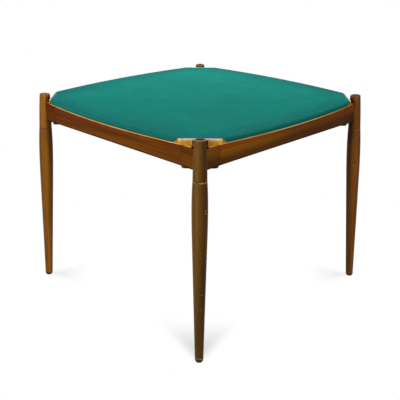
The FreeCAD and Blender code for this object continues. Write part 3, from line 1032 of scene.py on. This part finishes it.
def makeCloth():
    outline = clothOutline()
    points = [point for point, onSide in outline]
    inward = inwardOf(points)
    count = len(points)
    rim, rings = clothCut["rim"], clothCut["rings"]
    verts, faces = [Vector((0, 0, panelTop))], []

    def addRing(places):
        verts.extend(places)
        return len(verts) - count

    edge = [point + step * rim for point, step in zip(points, inward)]
    previous = addRing([onTop(point, 1 / rings) for point in edge])
    faces.extend((0, previous + index, previous + (index + 1) % count) for index in range(count))
    for number in range(2, rings + 1):
        start = addRing([onTop(point, number / rings) for point in edge])
        faces.extend(quadStrip(previous, start, count))
        previous = start
    for number in range(1, clothCut["rimSteps"] + 1):
        angle = math.radians(90) * number / clothCut["rimSteps"]
        inset, drop = rim * (1 - math.sin(angle)), rim * (1 - math.cos(angle))
        places = [point + step * inset for point, step in zip(points, inward)]
        start = addRing([Vector((*place, panelTop - drop)) for place in places])
        faces.extend(quadStrip(previous, start, count))
        previous = start
    bowed = [onSide for point, onSide in outline]
    alongSides = [index for index in range(count) if bowed[index] and bowed[(index + 1) % count]]
    for number in range(1, clothCut["bandSteps"] + 1):
        level = panelTop - rim + (bandFoot - panelTop + rim) * number / clothCut["bandSteps"]
        trimmed = clothOutline(clothCut["trim"] * number / clothCut["bandSteps"])
        start = addRing([Vector((*point, level)) for point, onSide in trimmed])
        faces.extend(quadStrip(previous, start, count, alongSides))
        previous = start
    used = sorted({index for face in faces for index in face})
    order = {old: new for new, old in enumerate(used)}
    kept = [[order[index] for index in face] for face in faces]
    cloth = newPiece("baizeCloth", [verts[old] for old in used], kept, clothCut["sharp"], baizeFelt())
    thicken = cloth.modifiers.new("thickness", "SOLIDIFY")
    thicken.thickness = clothCut["thickness"]
    thicken.offset = -1
    return cloth


def feltFace(place, x, y):
    look = clothLook
    flat = place.joined(x, y, 0.0)
    centre = clothCut["sideRadius"] - panelHalf
    gaps = []  # from the four bowed sides
    for middle in ((0, centre, 0), (0, -centre, 0), (centre, 0, 0), (-centre, 0, 0)):
        gaps.append(clothCut["sideRadius"] - flat.apart(middle))
    gap = gaps[0].least(gaps[1]).least(gaps[2]).least(gaps[3])
    nearEdge = 1 - gap.step(*look["edgeSteps"])
    cloud = place.noise(*look["cloud"])
    blotch = place.noise(*look["blotch"])
    colour = (cloud.step(*look["cloudSteps"]) * look["paleCover"]).mix(look["colour"], look["pale"])
    # darker along the bowed sides, in cloudy patches: soiling and painted shade
    clouded, always = look["soiledAndShadedDepth"]
    colour = (nearEdge * (cloud * clouded + always)).mix(colour, look["soiledAndShaded"])
    blue = nearEdge * blotch.step(*look["blueSteps"])
    colour = (blue * look["blueCover"]).mix(colour, look["blue"])
    green = nearEdge * (1 - blotch.step(*look["greenSteps"]))
    colour = (green * look["greenCover"]).mix(colour, look["green"])
    streak = place.moved("MULTIPLY", look["streakStretch"]).noise(*look["streak"])
    atEdge, always = look["streakDepth"]
    scuff = streak.step(*look["streakSteps"]) * (nearEdge * atEdge + always)
    colour = (scuff * look["wornCover"]).mix(colour, look["wornAndHighlight"])
    flecks = place.noise(*look["flecks"]).step(*look["fleckSteps"])
    spots = place.noise(*look["spots"]).step(*look["spotSteps"])
    colour = ((flecks + spots) * look["baldCover"]).mix(colour, look["bald"])
    rubbedAndShade = place.noise(*look["rubbedAndShade"])
    colour = colour.tinted(rubbedAndShade.mix(look["rubbedDark"], look["rubbedLight"]))
    border = (1 - gap.step(*look["borderSteps"])) * look["borderCover"]
    behind = (1 - gap.step(*look["backSteps"])) * (1 - (x - y).step(*look["backFrom"]))
    colour = border.most(behind * look["backCover"]).mix(colour, look["border"])
    # painted light towards the rear corner, painted shade towards the front corner
    return colour.tinted((x - y).step(*look["toneSteps"]).mix(look["paintedBackLight"], look["paintedFrontShade"]))


def feltSides(outX, x, below):
    look = clothLook
    # painted shade on the turned-down sides: darker than the cloth's top, darkest on the right side
    # below its lighter fold, darker on the front side towards the front corner, and darker towards the
    # lower edge
    right = below.step(*look["foldSteps"]).mix(look["fold"], look["side"])
    left = x.step(*look["frontSteps"]).mix(look["otherSides"], look["frontSide"])
    colour = outX.step(*look["rightward"]).mix(left, right)
    atFront, always = look["lowBandDepth"]
    lowBandDark = below.step(*look["lowBandSteps"]) * (x.step(*look["lowBandFrom"]) * atFront + always)
    return lowBandDark.mix(colour, look["lowBandDark"])


def baizeFelt():
    look = clothLook
    wires, close = newFinish("baizeFelt")
    place = wires.place()
    x, y, z = place.parts()
    outX, outZ = wires.facing()[::2]
    turnedDown = 1 - outZ.step(*look["upward"])
    colour = turnedDown.mix(feltFace(place, x, y), feltSides(outX, x, panelTop - z))
    nap = place.noise(*look["nap"])
    return close(
        Base_Color=colour.tinted(nap.mix(look["shaded"], look["lit"])),
        Roughness=look["roughness"],
        bumpHeight=nap,
        bumpDistance=look["bump"],
        Specular_IOR_Level=look["specular"],
    )


def layCloth():
    cloth = makeCloth()
    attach(cloth, "top")
    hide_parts("baize")


layCloth()


# Metal, fibre and rubber

metalLook = {
    "brushStretch": (1, 1, 6),
    "brush": (900, 3, 0.6),
    "brushRough": 0.2,
    "cloud": (90, 3, 0.6),
    "darker": 0.8,
    "lighter": 1.08,
    "bump": 0.00002,
}
mattLook = {"detail": 3, "grit": 0.6, "darker": 0.7, "lighter": 1.3, "bump": 0.0001}


def mottled(speckle, colour, look):
    darker = [look["darker"] * part for part in colour]
    lighter = [look["lighter"] * part for part in colour]
    return speckle.mix(darker, lighter)


def metalFinish(name, colour, roughness):
    look = metalLook
    wires, close = newFinish(name)
    place = wires.place()
    brushed = place.moved("MULTIPLY", look["brushStretch"]).noise(*look["brush"])
    return close(
        Base_Color=mottled(place.noise(*look["cloud"]), colour, look),
        Metallic=1.0,
        Roughness=roughness + brushed * look["brushRough"],
        bumpHeight=brushed,
        bumpDistance=look["bump"],
    )


def mattFinish(name, colour, roughness, grainScale):
    look = mattLook
    wires, close = newFinish(name)
    fleck = wires.place().noise(grainScale, look["detail"], look["grit"])
    return close(
        Base_Color=mottled(fleck, colour, look),
        Roughness=roughness,
        bumpHeight=fleck,
        bumpDistance=look["bump"],
    )


steel = metalFinish("zincSteel", colour=(0.36, 0.36, 0.37), roughness=0.34)
brass = metalFinish("insertBrass", colour=(0.7, 0.5, 0.22), roughness=0.28)
fibre = mattFinish("washerFibre", colour=(0.06, 0.034, 0.016), roughness=0.8, grainScale=1400)
rubber = mattFinish("glideRubber", colour=(0.02, 0.019, 0.018), roughness=0.65, grainScale=900)


# Threaded studs in the legs

studCut = {
    "radius": 0.006,
    "depth": 0.0011,  # of the thread
    "pitch": 0.005,
    "steepness": 2.6,  # of the thread's flanks
    "rowsPerTurn": 10,
    "around": 28,
    "runOut": 0.0016,  # length over which the thread ends
    "blunt": 0.0005,  # how far the ends are drawn in
    "sharp": 40,
}


def makeStud(corner):
    spin = legAxis[corner].to_track_quat("-Z", "Y").to_matrix()
    start, end = dropsOf("leg_stud_" + corner, corner)
    rows = round((end - start) / studCut["pitch"] * studCut["rowsPerTurn"])
    around = studCut["around"]
    verts, faces = [], []
    for row in range(rows + 1):
        drop = start + (end - start) * row / rows
        full = min(1, min(drop - start, end - drop) / studCut["runOut"])
        for index in range(around):
            share = index / around
            phase = (drop / studCut["pitch"] - share) % 1
            ridge = max(0, 1 - abs(phase - 0.5) * studCut["steepness"]) * full
            skin = studCut["radius"] - studCut["depth"] * (1 - ridge) - studCut["blunt"] * (1 - full)
            angle = 2 * math.pi * share
            local = Vector((math.cos(angle) * skin, math.sin(angle) * skin, -drop))
            verts.append(postTop[corner] + spin @ local)
    for row in range(rows):
        faces.extend(quadStrip(row * around, (row + 1) * around, around))
    faces.append(tuple(range(around)))
    faces.append(tuple(reversed(range(rows * around, (rows + 1) * around))))
    stud = newPiece("threadedStud_" + corner, verts, faces, studCut["sharp"], steel)
    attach(stud, "leg_" + corner)
    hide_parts("leg_stud_" + corner)


# Slotted screws under the bearers

screwCut = {
    "around": 20,  # points on each side of the slot
    "slotHalf": 0.0006,
    "slotDepth": 0.0012,
    "headHeight": 0.0024,
    "headSpan": 0.0096,  # points nearer than this are on one head
    "level": 0.0001,  # how even the heads' faces are
    "shankRadius": 0.002,
    "turning": 9,  # so that the slots don't all point one way
    "sharp": 30,
}


def screwPlaces():
    # the middle of each head, its radius and the screw's length, from the CAD screws
    points = [vertex.co for vertex in nodes["bearer_screws"].data.vertices]
    foot, tip = min(point.z for point in points), max(point.z for point in points)
    heads = []
    for point in points:
        if point.z > foot + screwCut["level"]:
            continue
        near = [head for head in heads if (head[0] - point).length < screwCut["headSpan"]]
        if near:
            near[0].append(point)
        else:
            heads.append([point])
    for head in heads:
        middle = sum(head, Vector()) / len(head)
        yield middle, max((point - middle).length for point in head), tip - foot


def slottedRing(level, reach):
    # two arcs, one on each side of the slot
    around = screwCut["around"]
    edge = math.asin(screwCut["slotHalf"] / reach)
    ring = []
    for side in (0, math.pi):
        for index in range(around):
            angle = side + edge + (math.pi - 2 * edge) * index / (around - 1)
            ring.append(Vector((math.cos(angle) * reach, math.sin(angle) * reach, level)))
    return ring


def screwFaces(start):
    # of four rings, from the head's face and the slot's floor to the tip
    around = screwCut["around"]
    count = 2 * around
    rings = [start + count * number for number in range(4)]
    face, floor, tip = rings[0], rings[1], rings[3]
    faces = []
    for lower, upper in zip(rings, rings[1:]):
        for index in range(count):
            following = (index + 1) % count
            if lower == face and index % around == around - 1:
                continue  # open at the slot's ends
            faces.append((lower + index, lower + following, upper + following, upper + index))
    for first in (0, around):
        last = first + around - 1
        faces.append(tuple(reversed(range(face + first, face + last + 1))))
        faces.append((face + first, face + last, floor + last, floor + first))
    faces.append((floor, floor + around - 1, floor + around, floor + count - 1))
    faces.append(tuple(range(tip, tip + count)))
    return faces


def makeScrews():
    verts, faces = [], []
    depth, height, shank = screwCut["slotDepth"], screwCut["headHeight"], screwCut["shankRadius"]
    for middle, radius, length in screwPlaces():
        turn = Matrix.Rotation(math.atan2(middle.y, middle.x) + middle.x * screwCut["turning"], 3, "Z")
        floorRadius = radius - (radius - shank) / height * depth
        faces.extend(screwFaces(len(verts)))
        for level, reach in ((0.0, radius), (depth, floorRadius), (height, shank), (length, shank)):
            verts.extend(middle + turn @ local for local in slottedRing(level, reach))
    screws = newPiece("slottedScrews", verts, faces, screwCut["sharp"], steel)
    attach(screws, "frame")
    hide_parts("bearer_screws")


makeScrews()
for corner in corners:
    makeStud(corner)
    paint(fibre, "leg_washer_" + corner, sharp=turnedSharp)
    paint(rubber, "glide_" + corner, sharp=turnedSharp)
paint(brass, "leg_inserts", sharp=turnedSharp)
print("screws, studs, washers and glides")
